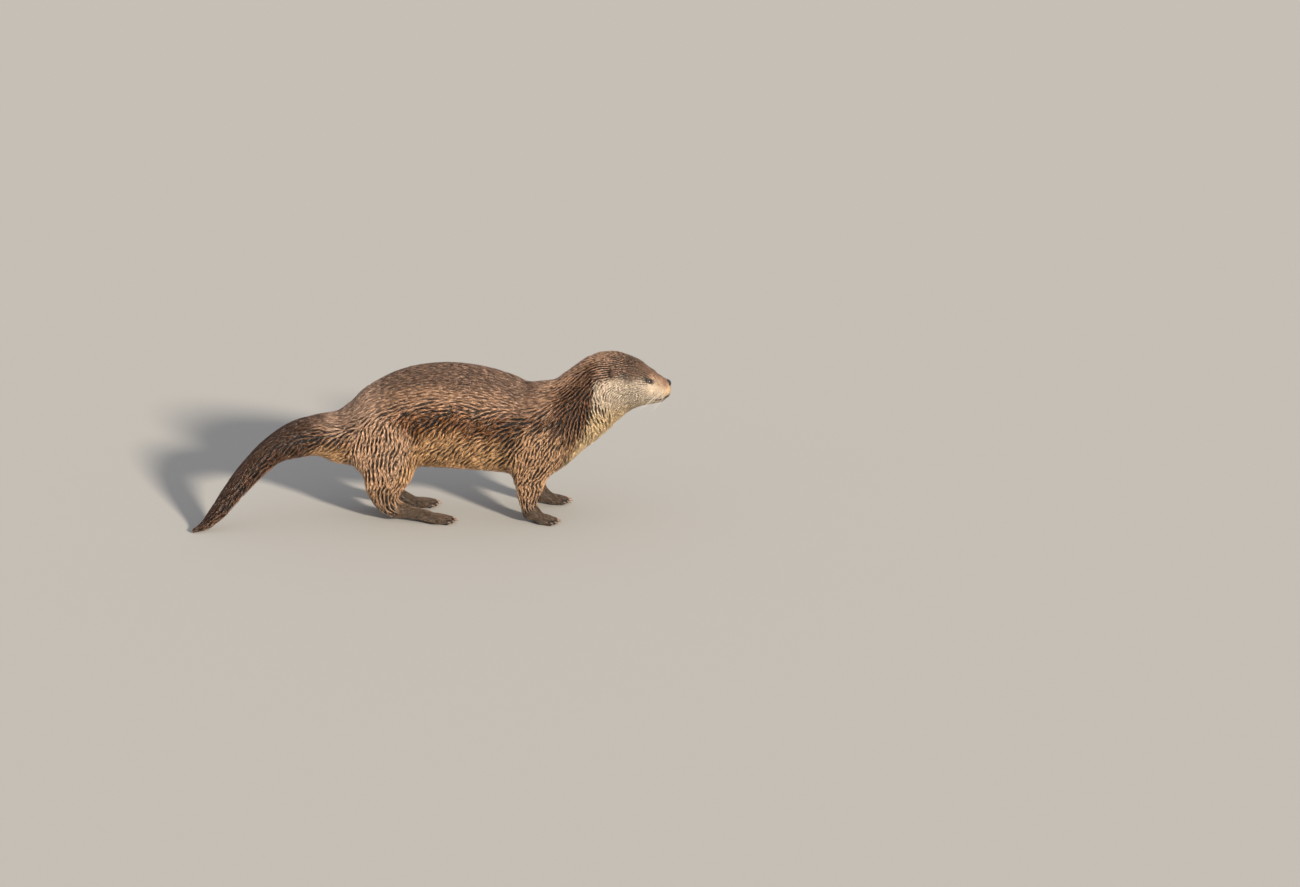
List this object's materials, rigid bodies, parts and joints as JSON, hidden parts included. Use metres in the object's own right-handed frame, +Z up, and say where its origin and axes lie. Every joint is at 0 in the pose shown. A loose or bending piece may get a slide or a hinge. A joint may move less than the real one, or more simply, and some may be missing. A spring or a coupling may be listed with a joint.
{
  "type": "river otter",
  "caption": "Life-size still model of a river otter standing on all fours with arched back, webbed paws and long tapering tail laid to the floor.",
  "frame": {"origin": "on the floor, under the middle of the animal's own bounding box", "axes": "+X along the body towards the nose, +Y towards the animal's left side, +Z up"},
  "size_m": [0.9784, 0.2386, 0.3458],
  "materials": {
    "pelt": "wet dark brown fur, paler on cheeks, throat and belly",
    "paw_skin": "thinly furred webbed toes with short horn claws",
    "nose_skin": "bare, moist, finely grained",
    "eye": "wet dark brown eye"
  },
  "bodies": {
    "root": {"head": "pelt", "neck": "pelt", "torso": "pelt", "tail_root": "pelt", "tail_middle": "pelt", "tail_tip": "pelt", "foreleg_right": "pelt", "foreleg_left": "pelt", "hindleg_right": "pelt", "hindleg_left": "pelt", "ear_right": "pelt", "ear_left": "pelt", "forepaw_right": "paw_skin", "forepaw_left": "paw_skin", "hindpaw_right": "paw_skin", "hindpaw_left": "paw_skin", "nose_pad": "nose_skin", "eye_right": "eye", "eye_left": "eye"}
  },
  "joints": []
}
